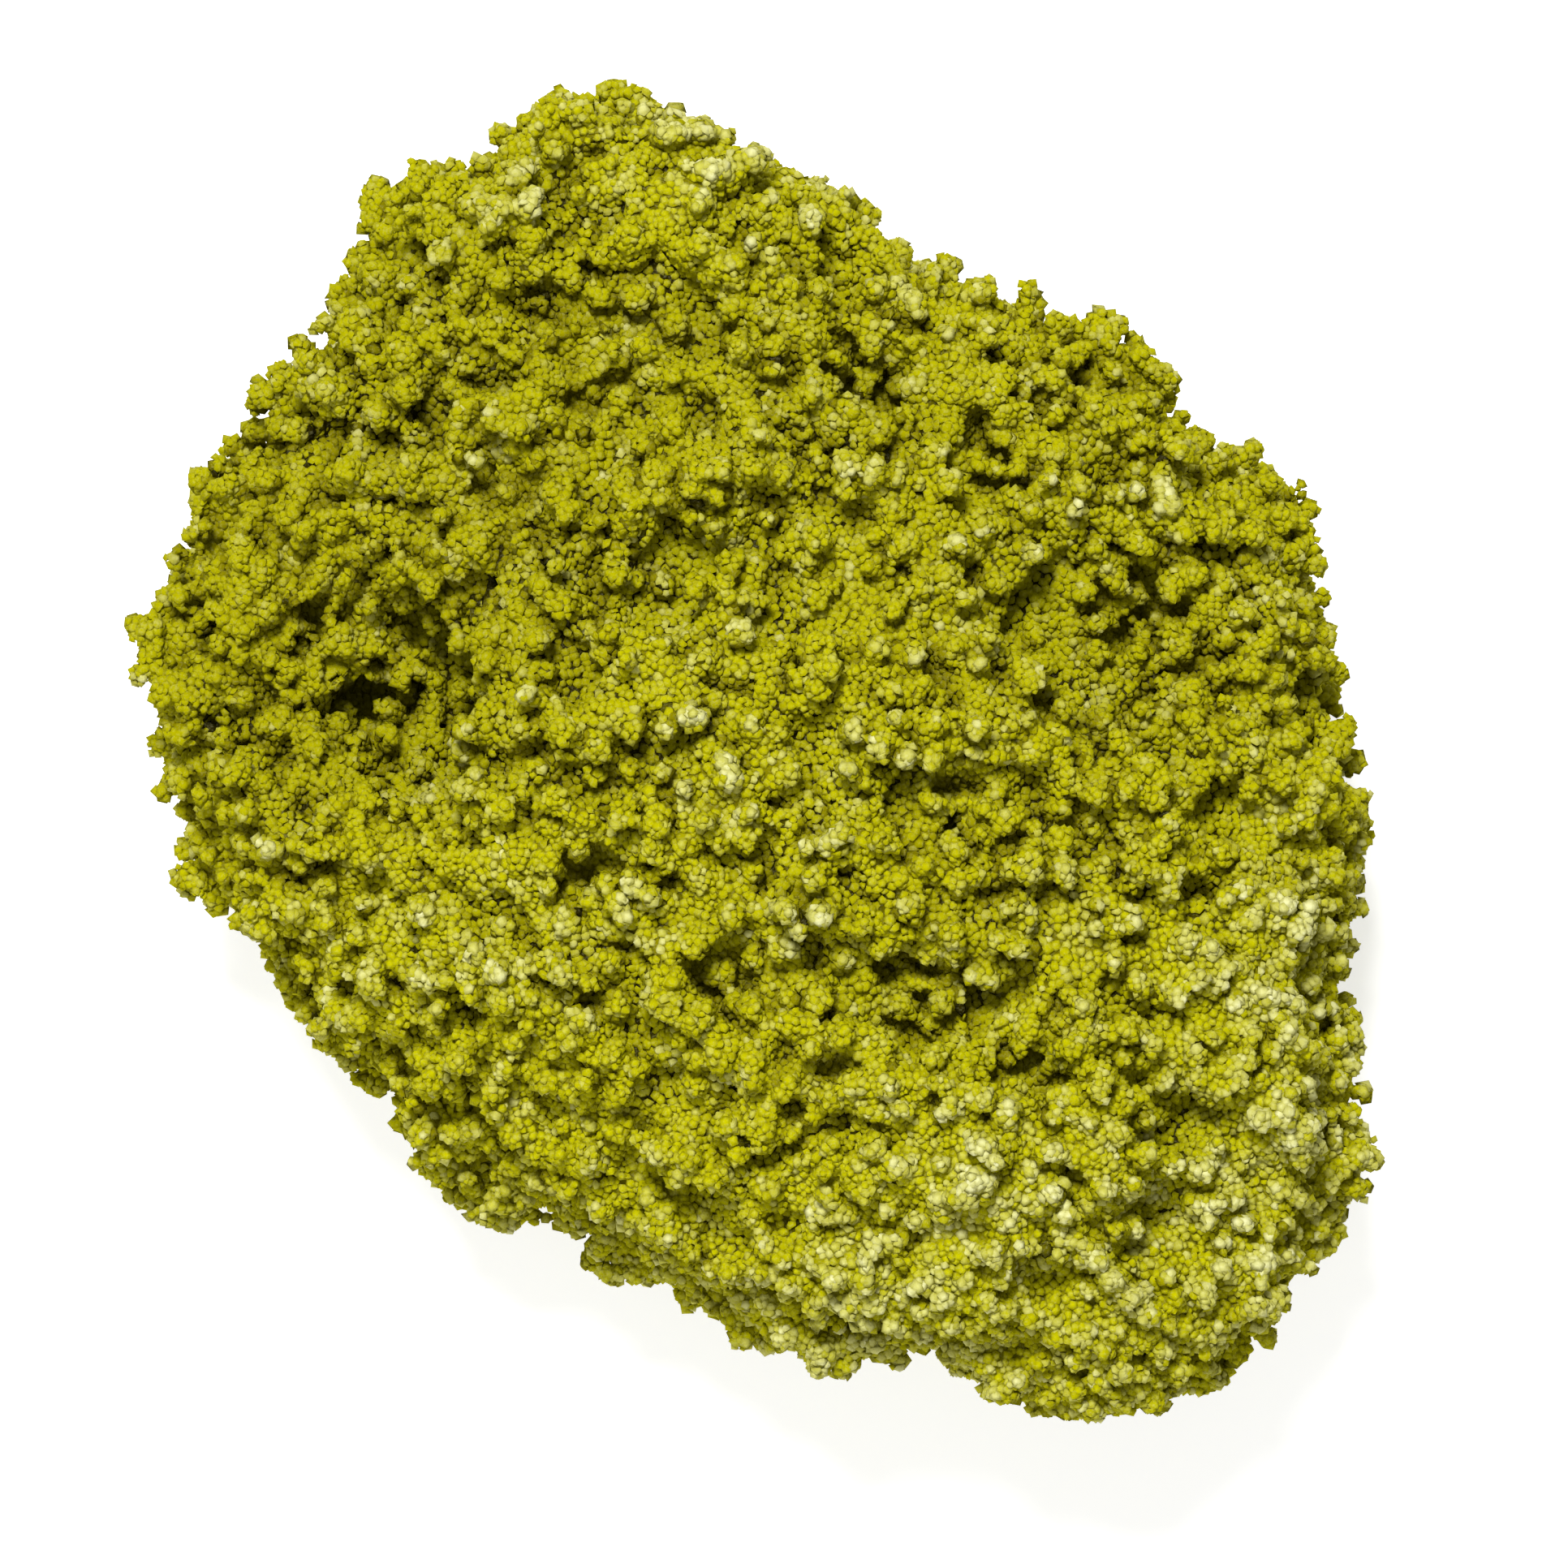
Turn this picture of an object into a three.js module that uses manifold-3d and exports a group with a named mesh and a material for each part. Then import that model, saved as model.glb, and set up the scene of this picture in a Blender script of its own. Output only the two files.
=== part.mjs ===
// Nontronite specimen: one loose, rounded mass of botryoidal clay, lying on its broken back.
// Millimetres, +Z up. The origin is the middle of the footprint, on the surface it rests on.
import * as THREE from "three";
import { mergeVertices } from "three/addons/utils/BufferGeometryUtils.js";
import Module from "manifold-3d";

// Driving dimensions
const height = 43;          // from the surface it rests on to the crown of the smooth mass
const equatorHeight = 16;   // height of the widest outline
const lowerDepth = 21;      // how far the lower half would reach below the outline, were it not broken off
const fullness = 0.86;      // 1 is an ellipsoid, smaller is a fuller shoulder
const lean = [0.1, -0.06];  // how far the crown lies off the middle, for each mm over the outline
const crustDepth = 0.8;     // the outline is drawn over the knobs, which stand this far off the mass
const rimShare = 0.35;      // up and down to this level the flank follows each notch of the outline
const plainTurn = 9;        // beyond it the outline is evened out over these degrees to each side
const plainSteps = 7;
const facetDetail = 19;     // subdivisions of the sphere that becomes the mass
const facetJitter = 0.012;  // keeps its corners from standing in rows, on a sphere of radius 1
const splitAngle = 101;     // degrees from the sphere's pole down to what becomes the outline
const knobs = { spacing: 4.8, rise: 2.3 };
const sideLumps = { spacing: 11, rise: 3.2 };
const knobForm = { crown: 0.5, fall: 1.6, floor: -0.7 };  // in rises: at its middle, a spacing away, at most
const flankTop = 34;        // below this the flank gets large lumps of its own
const rimBand = 5;          // but they stay low this near the height of the outline, to keep its form
const rimFade = 0.8;
const pitDetail = 1;        // subdivisions of the sphere that cuts a pit
const pitForm = { long: 1.35, wide: 0.85, roughness: 0.3 };
const seed = 7;

// Outline from above, clockwise from the top
const outline = [
  [-14.5, 44], [-11.5, 45.5], [-7, 45], [-4.5, 42.5], [-2.5, 43], [2.5, 40], [6.5, 37.5], [8.5, 37.5],
  [9, 34.5], [12, 34], [15.5, 32], [16, 31], [19, 31], [20.5, 28.5], [23, 28.5], [25, 28], [28.5, 25.5],
  [30.5, 22], [34, 21], [38, 18], [38.5, 16], [40, 15], [39, 13.5], [40, 10], [39, 6.5], [41, 2],
  [42.5, -6], [41.5, -11], [40, -15.5], [41.5, -18.5], [40.5, -20], [41, -24], [42, -27.5], [40.5, -30.5],
  [40, -34], [37, -37.5], [34, -41], [29, -44.5], [26.5, -45.5], [20, -45], [17, -44.5], [12.5, -41.5],
  [11, -42.5], [5.5, -42.5], [0, -41.5], [-3.5, -38], [-7, -37], [-12.5, -34.5], [-15.5, -33], [-18, -33],
  [-21, -31], [-25, -26], [-27.5, -22.5], [-31, -20], [-33, -16], [-35, -12], [-36.5, -10.5], [-39, -10.5],
  [-40, -5.5], [-40, -3], [-42, -2], [-41, 3.5], [-42.5, 10], [-40.5, 14], [-39.5, 18], [-38, 20],
  [-36, 20], [-33.5, 23.5], [-33, 26], [-29, 30], [-28.5, 33.5], [-26, 36.5], [-26, 38.5], [-23.5, 40],
  [-20, 39.5], [-17, 42],
];

// Broad swells and sinks that shape the whole mass: [x, y, radius, rise]
const swells = [
  [3, -2, 24, 2.5], [-14, 36, 16, 2], [14, 27, 13, 1.5], [17, -27, 16, 2], [-27, 22, 13, 1.5],
  [-27, 5, 14, -5.5], [26, 8, 13, -4], [-9, 29, 12, -2.5], [-14, -30, 14, -2], [30, -30, 9, -1],
];

// Lumps of the crust: [x, y, radius, rise]
const lumps = [
  // crown block
  [-23, 36, 4, 1.6], [-16.5, 34.5, 5.5, 2.2], [-10, 40.5, 5.5, 2], [-2.5, 38, 5.5, 2.2], [4, 35.5, 5, 2],
  [8, 34.5, 3.5, 1.5], [-4, 33, 4, 1.3], [-21, 31.5, 4, 1.4], [0.5, 31.5, 3.5, 1.2],
  // left block
  [-26.5, 25.5, 5.5, 2.2], [-19.5, 26, 5, 2], [-15, 20.5, 5.5, 2.3], [-13.5, 25, 4, 1.8], [-31, 19.5, 4.5, 1.5],
  [-36, 16, 4.5, 2], [-33, 11, 4.5, 2], [-24, 16, 4.5, 1.8], [-28, 12.5, 4, 1.4], [-19, 12, 4.5, 1.6],
  [-37, 5, 4.5, 1.5], [-12, 8.5, 5, 2], [-12.5, 2.5, 5.5, 2.4], [-15.5, -3, 5, 2.2], [-18, 3, 4.5, 1.8],
  // shelf and lower left flank
  [-34, -2, 4.5, 1.8], [-26, -5, 5, 1.8], [-38.5, -1, 3, 1.4], [-37.5, -9, 3, 1.5], [-31, -10, 4.5, 1.8],
  [-15, -14, 5.5, 2.2], [-23, -15, 5, 2], [-20, -9, 4.5, 1.5], [-28, -18, 4, 1.5], [-18, -22, 5, 1.8],
  [-9, -8, 5, 1.6], [-10, -21, 5, 1.8], [-12, -29, 5, 1.8],
  // middle
  [-1.5, 20, 5.5, 2.2], [-6, 24, 4, 1.4], [3.5, 16, 4.5, 1.6], [9, 17.5, 5.5, 2.4], [3, 25, 5, 1.8],
  [-7, 15, 4, 1.4], [-5, 4, 4.5, 2.2], [-1, -1, 4.5, 2.1], [4, 4, 4.5, 2], [9.5, 1.5, 5, 2.6],
  [4, -5.5, 4.5, 2], [-5, -5, 4, 1.6], [12, 8, 5, 1.6], [17, 4, 5, 1.8], [8, -8, 5.5, 1.8],
  [16, -10, 5.5, 2], [5, -11, 4.5, 1.8],
  // upper right edge and right flank
  [14.5, 29, 5.5, 2.2], [20, 25, 4.5, 1.6], [23.5, 26, 4.5, 1.8], [15, 22.5, 4.5, 1.6], [21, 15.5, 5.5, 2.2],
  [26.5, 21, 5, 2], [32.5, 18.5, 4.5, 1.8], [36.5, 15, 4, 1.6], [34.5, 7, 4.5, 1.5], [33, 1.5, 5.5, 2],
  [24, -1, 5.5, 1.8], [25, -8, 5.5, 1.8], [38, -3, 4.5, 1.6],
  // lower half
  [-4, -16.5, 4.5, 1.8], [1, -19, 5, 1.8], [8, -21, 4.5, 1.5], [13.5, -20, 4.5, 1.8], [22.5, -19.5, 5.5, 2],
  [28, -15, 5, 1.8], [-2, -26, 5, 1.6], [-6, -33, 4.5, 1.5], [5.5, -35, 5.5, 1.8], [13, -35, 5, 1.6],
  [24, -38, 5.5, 1.8], [24, -27, 4.5, 1.4],
];

// Ridges and grooves run through their points: { path, radius, rise }
const ridges = [
  { path: [[23.5, 12], [28, 14.5], [32, 16]], radius: 3, rise: 1.6 },
  { path: [[33, -8], [34.5, -14], [34, -20], [36, -25]], radius: 3.5, rise: 2.2 },
  { path: [[30, -29], [32, -33], [33.5, -37]], radius: 2.8, rise: 1.8 },
  { path: [[6, -27.5], [12, -27], [17, -27.5], [20.5, -30]], radius: 4, rise: 2 },
  { path: [[-24, -13.5], [-19, -13.5], [-15.5, -15.5]], radius: 3.5, rise: 1.6 },
  { path: [[1, -40], [8, -40]], radius: 4, rise: 1.5 },
  { path: [[17, -42], [26, -42.5]], radius: 4, rise: 1.5 },
];
const grooves = [
  { path: [[-23, 30], [-17, 29], [-12, 29], [-6, 30], [-1, 30.5]], radius: 2.6, rise: -2.2 },
  { path: [[-11.5, 21], [-14, 18.5], [-16.5, 16.5]], radius: 2.2, rise: -2.8 },
  { path: [[-9, 12], [-5, 12], [-1.5, 14], [3, 11], [6, 10.5]], radius: 2.8, rise: -2.2 },
  { path: [[-2, -15], [5, -15], [11, -17.5], [15, -16], [19, -20]], radius: 2.4, rise: -3 },
  { path: [[-25.5, 7.5], [-26.5, 4], [-23.5, 1.5]], radius: 4.6, rise: -5 },
  { path: [[-29, 11], [-30, 7]], radius: 3, rise: -2.5 },
  { path: [[23, 8], [27, 9]], radius: 4.5, rise: -2.5 },
  { path: [[12, -4.5], [16, -4.5]], radius: 2.6, rise: -2.5 },
  { path: [[15.5, 8], [17.5, 11]], radius: 2.2, rise: -1.8 },
  { path: [[16, 20.5], [17, 17]], radius: 2.2, rise: -2 },
  { path: [[28, -24.5], [30, -26]], radius: 2.6, rise: -2.4 },
  { path: [[26, -31], [29, -33]], radius: 3, rise: -2 },
  { path: [[18, -34], [21, -35]], radius: 2.6, rise: -1.8 },
  { path: [[11.5, -40], [12, -43]], radius: 2.6, rise: -2 },
  { path: [[30.5, -7], [33, -4]], radius: 2.4, rise: -2 },
  { path: [[-11, -8], [-12, -11]], radius: 2.2, rise: -2.2 },
];

// Pits between the lumps: [x, y, radius, depth]
const pits = [
  [-26.3, 4, 2.6, 8], [-28.7, 7.2, 1.5, 5], [-34.5, 15.2, 1.5, 5], [-31.5, 13, 1.4, 5], [-38, 8.5, 1.3, 4],
  [-16.3, 18.6, 1.7, 5.5], [-10.3, 24.4, 1.3, 4.5], [-19.6, 10, 1.5, 5], [8.6, 24.6, 1.9, 6.5],
  [16.7, 19.6, 1.4, 4.5], [26, 9, 1.8, 5], [14, -4.3, 1.4, 4.5], [-11, -8.5, 1.5, 4.5],
  [-1.5, -15.3, 1.3, 4.5], [10.8, -17.8, 1.3, 4.5], [6, -20.2, 1.4, 4.5], [18.6, -20.5, 1.5, 4.5],
];

function randomNumbers(start) {
  let state = start;
  return () => {
    state = (state + 0x6d2b79f5) | 0;
    let t = Math.imul(state ^ (state >>> 15), 1 | state);
    t = (t + Math.imul(t ^ (t >>> 7), 61 | t)) ^ t;
    return ((t ^ (t >>> 14)) >>> 0) / 2 ** 32;
  };
}

// Distance from the axis to the outline in the direction (dx, dy)
function outlineReach(dx, dy) {
  for (let i = 0; i < outline.length; i += 1) {
    const [ax, ay] = outline[i];
    const [bx, by] = outline[(i + 1) % outline.length];
    const turn = (bx - ax) * dy - (by - ay) * dx;
    const along = (ay * dx - ax * dy) / turn;
    const reach = (ay * (bx - ax) - ax * (by - ay)) / turn;
    if (along >= 0 && along < 1 && reach > 0) return reach - crustDepth;
  }
  throw new Error("the outline doesn't close round the axis");
}

// The outline evened out, degree by degree
const plainReaches = Array.from({ length: 360 }, (_, degree) => {
  let sum = 0;
  for (let step = 0; step < plainSteps; step += 1) {
    const turn = THREE.MathUtils.degToRad(degree + plainTurn * ((2 * step) / (plainSteps - 1) - 1));
    sum += outlineReach(Math.cos(turn), Math.sin(turn));
  }
  return sum / plainSteps;
});

function plainReach(dx, dy) {
  const degree = (THREE.MathUtils.radToDeg(Math.atan2(dy, dx)) + 360) % 360;
  const low = Math.floor(degree);
  return THREE.MathUtils.lerp(plainReaches[low % 360], plainReaches[(low + 1) % 360], degree - low);
}

// The smooth mass at a level, from 0 at the outline to 1 at the crown, or -1 at the lowest point
function smoothPoint(dx, dy, level) {
  const rim = Math.exp(-((level / rimShare) ** 2));
  const reach = THREE.MathUtils.lerp(plainReach(dx, dy), outlineReach(dx, dy), rim);
  const radius = reach * Math.sqrt(1 - level ** 2) ** fullness;
  const rise = (level > 0 ? height - equatorHeight : -lowerDepth) * Math.abs(level) ** fullness;
  const off = Math.max(rise, 0);
  return new THREE.Vector3(dx * radius + lean[0] * off, dy * radius + lean[1] * off, equatorHeight + rise);
}

// The level direction from the axis to a place on the plan, which is +X on the axis itself
function bearing(x, y) {
  const flat = Math.hypot(x, y);
  return flat < 1e-6 ? [1, 0] : [x / flat, y / flat];
}

// A direction from the middle of the sphere becomes a point of the smooth mass
function massPoint({ x, y, z }) {
  const angle = THREE.MathUtils.radToDeg(Math.acos(z));
  const below = angle > splitAngle;
  const share = (splitAngle - angle) / (below ? 180 - splitAngle : splitAngle);
  return smoothPoint(...bearing(x, y), Math.sin((Math.PI / 2) * share));
}

// The point of the smooth upper side over a place on the plan
function upperPoint(x, y) {
  let level = 0.5;
  let point;
  for (let step = 0.25; step > 1e-4; step /= 2) {
    const off = (height - equatorHeight) * level ** fullness;
    const px = x - lean[0] * off;
    const py = y - lean[1] * off;
    point = smoothPoint(...bearing(px, py), level);
    const inside = Math.hypot(px, py) < Math.hypot(point.x - lean[0] * off, point.y - lean[1] * off);
    level += inside ? step : -step;
  }
  return new THREE.Vector3(x, y, point.z);
}

const asSpot = ([x, y, radius, rise]) => ({ centre: upperPoint(x, y), radius, rise });

// A ridge or groove is a row of spots, half a radius apart
function asSpots({ path, radius, rise }) {
  const line = new THREE.CatmullRomCurve3(path.map(([x, y]) => new THREE.Vector3(x, y, 0)));
  const steps = Math.ceil(line.getLength() / (radius / 2));
  return line.getSpacedPoints(steps).map(({ x, y }) => asSpot([x, y, radius, rise]));
}

const swellSpots = swells.map(asSpot);
const raisedSpots = [...lumps.map(asSpot), ...ridges.flatMap(asSpots)];
const sunkSpots = grooves.flatMap(asSpots);

// One knob of the crust in each cell of a lattice, off the cell's middle by chance
function knobCentre(i, j, k, spacing) {
  const random = randomNumbers(seed + i * 73856093 + j * 19349663 + k * 83492791);
  return new THREE.Vector3(i + random(), j + random(), k + random()).multiplyScalar(spacing);
}

function knobHeight(point, { spacing, rise }) {
  const [ci, cj, ck] = point.toArray().map((v) => Math.floor(v / spacing));
  let nearest = Infinity;
  for (let i = ci - 1; i <= ci + 1; i += 1) {
    for (let j = cj - 1; j <= cj + 1; j += 1) {
      for (let k = ck - 1; k <= ck + 1; k += 1) {
        nearest = Math.min(nearest, knobCentre(i, j, k, spacing).distanceTo(point));
      }
    }
  }
  return rise * Math.max(knobForm.crown - knobForm.fall * (nearest / spacing) ** 2, knobForm.floor);
}

// How far the crust stands off the smooth mass at a point
function relief(point) {
  const raised = raisedSpots.reduce((top, { centre, radius, rise }) => {
    const t = centre.distanceTo(point) / radius;
    return t < 1 ? Math.max(top, rise * Math.sqrt(1 - t * t)) : top;
  }, 0);
  const sunk = sunkSpots.reduce((low, { centre, radius, rise }) => {
    const t = centre.distanceTo(point) / radius;
    return t < 1 ? Math.min(low, rise * (1 - t * t)) : low;
  }, 0);
  const swell = swellSpots.reduce((sum, { centre, radius, rise }) => {
    const t = Math.min(centre.distanceTo(point) / radius, 1);
    return sum + rise * (1 - t * t) ** 2;
  }, 0);
  const underTop = THREE.MathUtils.smoothstep(flankTop - point.z, 0, flankTop - equatorHeight);
  const offRim = 1 - rimFade * Math.exp(-(((point.z - equatorHeight) / rimBand) ** 2));
  return raised + sunk + swell + knobHeight(point, knobs) + underTop * offRim * knobHeight(point, sideLumps);
}

// A closed sphere of radius 1 whose facets share their corners
function closedSphere(detail) {
  const sphere = new THREE.IcosahedronGeometry(1, detail);
  sphere.deleteAttribute("normal");
  sphere.deleteAttribute("uv");
  return mergeVertices(sphere, 1e-5);
}

function massGeometry() {
  const geometry = closedSphere(facetDetail);
  const position = geometry.getAttribute("position");
  const corner = new THREE.Vector3();
  const random = randomNumbers(seed);
  const jitter = () => facetJitter * (2 * random() - 1);
  for (let i = 0; i < position.count; i += 1) {
    corner.fromBufferAttribute(position, i);
    corner.add(new THREE.Vector3(jitter(), jitter(), jitter())).normalize();
    position.setXYZ(i, ...massPoint(corner).toArray());
  }
  geometry.computeVertexNormals();
  const normal = geometry.getAttribute("normal");
  const outward = new THREE.Vector3();
  for (let i = 0; i < position.count; i += 1) {
    corner.fromBufferAttribute(position, i);
    outward.fromBufferAttribute(normal, i);
    corner.addScaledVector(outward, relief(corner));
    position.setXYZ(i, ...corner.toArray());
  }
  geometry.deleteAttribute("normal");
  return geometry;
}

// A pit is a ragged egg-shaped hole whose mouth opens at the surface
function pitGeometry([x, y, radius, depth], number) {
  const random = randomNumbers(seed + number);
  const pit = closedSphere(pitDetail);
  const position = pit.getAttribute("position");
  const corner = new THREE.Vector3();
  for (let i = 0; i < position.count; i += 1) {
    corner.fromBufferAttribute(position, i).multiplyScalar(1 + pitForm.roughness * (2 * random() - 1));
    position.setXYZ(i, ...corner.toArray());
  }
  const mouth = upperPoint(x, y);
  mouth.z += relief(mouth);
  pit.scale(radius * pitForm.long, radius * pitForm.wide, depth);
  pit.rotateZ(Math.PI * random());
  pit.translate(mouth.x, mouth.y, mouth.z);
  return pit;
}

const wasm = await Module();
wasm.setup();

function toSolid(geometry) {
  const mesh = new wasm.Mesh({
    numProp: 3,
    vertProperties: new Float32Array(geometry.getAttribute("position").array),
    triVerts: new Uint32Array(geometry.getIndex().array),
  });
  return new wasm.Manifold(mesh);
}

function toGeometry(solid) {
  const { vertProperties, triVerts } = solid.getMesh();
  const geometry = new THREE.BufferGeometry();
  geometry.setAttribute("position", new THREE.BufferAttribute(vertProperties, 3));
  geometry.setIndex(new THREE.BufferAttribute(triVerts, 1));
  return geometry;
}

// The broken back: everything below the resting plane is cut away
function backGeometry() {
  const size = 2 * height;
  const box = new THREE.BoxGeometry(size, size, size);
  box.translate(0, 0, -size / 2);
  box.deleteAttribute("normal");
  box.deleteAttribute("uv");
  return mergeVertices(box);
}

function buildMass() {
  let solid = toSolid(massGeometry()).subtract(toSolid(backGeometry()));
  pits.forEach((pit, number) => {
    solid = solid.subtract(toSolid(pitGeometry(pit, number)));
  });
  const geometry = toGeometry(solid);
  geometry.computeBoundingBox();
  const middle = geometry.boundingBox.getCenter(new THREE.Vector3());
  geometry.translate(-middle.x, -middle.y, 0);
  return geometry;
}

const nontronite = new THREE.MeshStandardMaterial({ color: 0x8e8a1a, roughness: 0.95, metalness: 0 });
const mass = new THREE.Mesh(buildMass(), nontronite);
mass.name = "nontronite_mass";

const group = new THREE.Group();
group.add(mass);
export default group;
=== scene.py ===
import math

import bmesh
import bpy
import numpy as np
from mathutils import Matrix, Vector, noise
from mathutils.bvhtree import BVHTree
from mathutils.kdtree import KDTree


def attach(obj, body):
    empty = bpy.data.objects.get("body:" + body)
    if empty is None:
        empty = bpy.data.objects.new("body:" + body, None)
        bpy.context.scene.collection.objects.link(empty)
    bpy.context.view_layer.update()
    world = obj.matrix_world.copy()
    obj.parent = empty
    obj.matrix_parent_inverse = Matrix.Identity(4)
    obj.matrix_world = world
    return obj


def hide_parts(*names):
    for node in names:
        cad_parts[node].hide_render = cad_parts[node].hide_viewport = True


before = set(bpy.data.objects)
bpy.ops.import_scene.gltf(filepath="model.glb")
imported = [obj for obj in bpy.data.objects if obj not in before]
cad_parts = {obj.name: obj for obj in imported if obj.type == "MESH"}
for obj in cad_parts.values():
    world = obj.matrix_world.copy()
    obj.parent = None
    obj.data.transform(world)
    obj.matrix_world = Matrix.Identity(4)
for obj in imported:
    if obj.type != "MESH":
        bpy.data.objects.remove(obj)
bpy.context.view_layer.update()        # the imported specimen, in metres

noise.seed_set(4)        # noise_vector would start from the clock without it
mm = 0.001
goldenAngle = 2.39996
showFace = 12 * mm       # the listed places act above this height only
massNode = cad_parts["nontronite_mass"]


# meshes and arrays

def linkPiece(name, mesh):
    piece = bpy.data.objects.new(name, mesh)
    bpy.context.scene.collection.objects.link(piece)
    return piece


def newPiece(name, points, faces):
    mesh = bpy.data.meshes.new(name)
    mesh.vertices.add(len(points))
    mesh.vertices.foreach_set("co", np.ascontiguousarray(points, np.float32).ravel())
    mesh.loops.add(faces.size)
    mesh.loops.foreach_set("vertex_index", np.ascontiguousarray(faces, np.int32).ravel())
    mesh.polygons.add(len(faces))
    starts = np.arange(0, faces.size, faces.shape[1], dtype=np.int32)
    mesh.polygons.foreach_set("loop_start", starts)
    mesh.update(calc_edges=True)
    return linkPiece(name, mesh)


def pointsOf(mesh):
    values = np.zeros(len(mesh.vertices) * 3, np.float32)
    mesh.vertices.foreach_get("co", values)
    return values.reshape(-1, 3).astype(float)


def normalsOf(mesh):
    values = np.zeros(len(mesh.vertices) * 3, np.float32)
    mesh.vertex_normals.foreach_get("vector", values)
    return values.reshape(-1, 3).astype(float)


def setPoints(mesh, points):
    mesh.vertices.foreach_set("co", points.astype(np.float32).ravel())
    mesh.update()


def treeOf(mesh):
    corners = np.zeros(len(mesh.loops), np.int32)
    mesh.loops.foreach_get("vertex_index", corners)
    return BVHTree.FromPolygons(pointsOf(mesh).tolist(), corners.reshape(-1, 3).tolist())


def plainTreeOf(mesh):
    points = [v.co[:] for v in mesh.vertices]
    return BVHTree.FromPolygons(points, [p.vertices[:] for p in mesh.polygons])


def placesTree(points):
    tree = KDTree(len(points))
    for i, point in enumerate(points):
        tree.insert(point, i)
    tree.balance()
    return tree


def bakeModifiers(piece):
    graph = bpy.context.evaluated_depsgraph_get()
    mesh = bpy.data.meshes.new_from_object(piece.evaluated_get(graph))
    piece.modifiers.clear()
    old = piece.data
    piece.data = mesh
    mesh.name = piece.name
    bpy.data.meshes.remove(old)


def addEvenOut(piece, steps):
    smooth = piece.modifiers.new("evenOut", "SMOOTH")
    smooth.factor = 0.5
    smooth.iterations = steps


def fuse(piece, voxel, evenOut=0):
    skin = piece.modifiers.new("fuse", "REMESH")
    skin.mode = "VOXEL"
    skin.voxel_size = voxel
    if evenOut:
        addEvenOut(piece, evenOut)
    bakeModifiers(piece)


def unit(vectors):
    return vectors / np.linalg.norm(vectors, axis=1, keepdims=True)


def mix(pair, share):
    return pair[0] + (pair[1] - pair[0]) * share


def smoothStep(low, high, value):
    share = np.clip((value - low) / (high - low), 0, 1)
    return share * share * (3 - 2 * share)


def noiseAt(points, size, shift=(0, 0, 0)):
    return np.array([noise.noise(Vector(p) / size + Vector(shift)) for p in points])


def bendAt(points, size):
    return np.array([noise.noise_vector(Vector(p) / size)[:] for p in points])


def distanceTo(points, x, y, radius):
    # on the plan, in radii of the place
    return np.hypot(points[:, 0] - x * mm, points[:, 1] - y * mm) / (radius * mm)


def blendPlaces(points, places, elsewhere, weight):
    total = np.full(len(points), weight)
    value = np.full(len(points), weight * elsewhere)
    for x, y, radius, amount in places:
        pull = np.exp(-distanceTo(points, x, y, radius) ** 2) * (points[:, 2] > showFace)
        total += pull
        value += pull * amount
    return value / total


def strongestPlace(points, places):
    value = np.zeros(len(points))
    for x, y, radius, amount in places:
        away = distanceTo(points, x, y, radius)
        value = np.maximum(value, amount * np.exp(-away ** 2) * (points[:, 2] > showFace))
    return value


def thin(points, spacing, order):
    # keeps the points that are no nearer to one kept before than its spacing
    tree = placesTree(points)
    gone = np.zeros(len(points), bool)
    kept = []
    for i in order:
        if gone[i]:
            continue
        kept.append(i)
        for _, j, _ in tree.find_range(points[i], spacing[i]):
            gone[j] = True
    return np.array(kept)


def scatter(mesh, perArea, rng):
    # random points over the mesh, with the smooth normal at each
    mesh.calc_loop_triangles()
    corners = np.zeros(len(mesh.loop_triangles) * 3, np.int32)
    mesh.loop_triangles.foreach_get("vertices", corners)
    corners = corners.reshape(-1, 3)
    points, normals = pointsOf(mesh), normalsOf(mesh)
    a, b, c = (points[corners[:, k]] for k in range(3))
    areas = np.linalg.norm(np.cross(b - a, c - a), axis=1) / 2
    count = int(areas.sum() * perArea)
    picked = corners[rng.choice(len(corners), count, p=areas / areas.sum())]
    u, v = rng.random((2, count))
    over = u + v > 1
    u[over], v[over] = 1 - u[over], 1 - v[over]
    weights = np.stack([1 - u - v, u, v], 1)[:, :, None]
    return (weights * points[picked]).sum(1), unit((weights * normals[picked]).sum(1))


def unitTemplate(build):
    form = bmesh.new()
    build(form)
    bmesh.ops.triangulate(form, faces=form.faces)
    form.verts.ensure_lookup_table()
    points = np.array([v.co[:] for v in form.verts])
    faces = np.array([[v.index for v in f.verts] for f in form.faces])
    form.free()
    return points, faces


def joinCopies(name, template, frames, middles):
    # one mesh of the template at each middle, turned and scaled by its own 3x3 frame
    points, faces = template
    placed = np.einsum("nij,pj->npi", frames, points) + middles[:, None, :]
    numbered = faces[None] + (np.arange(len(middles)) * len(points))[:, None, None]
    return newPiece(name, placed.reshape(-1, 3), numbered.reshape(-1, 3))


def framesAlong(normals, scales, turns):
    # columns: two directions across each normal and the normal itself, times the scales
    side = np.where(np.abs(normals[:, 2:3]) < 0.9, [[0.0, 0.0, 1.0]], [[1.0, 0.0, 0.0]])
    across = unit(np.cross(side, normals))
    other = np.cross(normals, across)
    turned = across * np.cos(turns)[:, None] + other * np.sin(turns)[:, None]
    square = np.cross(normals, turned)
    columns = [turned * scales[:, 0:1], square * scales[:, 1:2], normals * scales[:, 2:3]]
    return np.stack(columns, axis=2)


# the core, a smooth copy of the solid that the crust grows on

core = {
    "weld": 0.002 * mm,
    "voxel": 0.5 * mm,
    "evenOut": 8,
    "broadVoxel": 1.5 * mm,  # a smoother copy, which tells the ridges from the hollows
    "broadEvenOut": 30,
}


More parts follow.
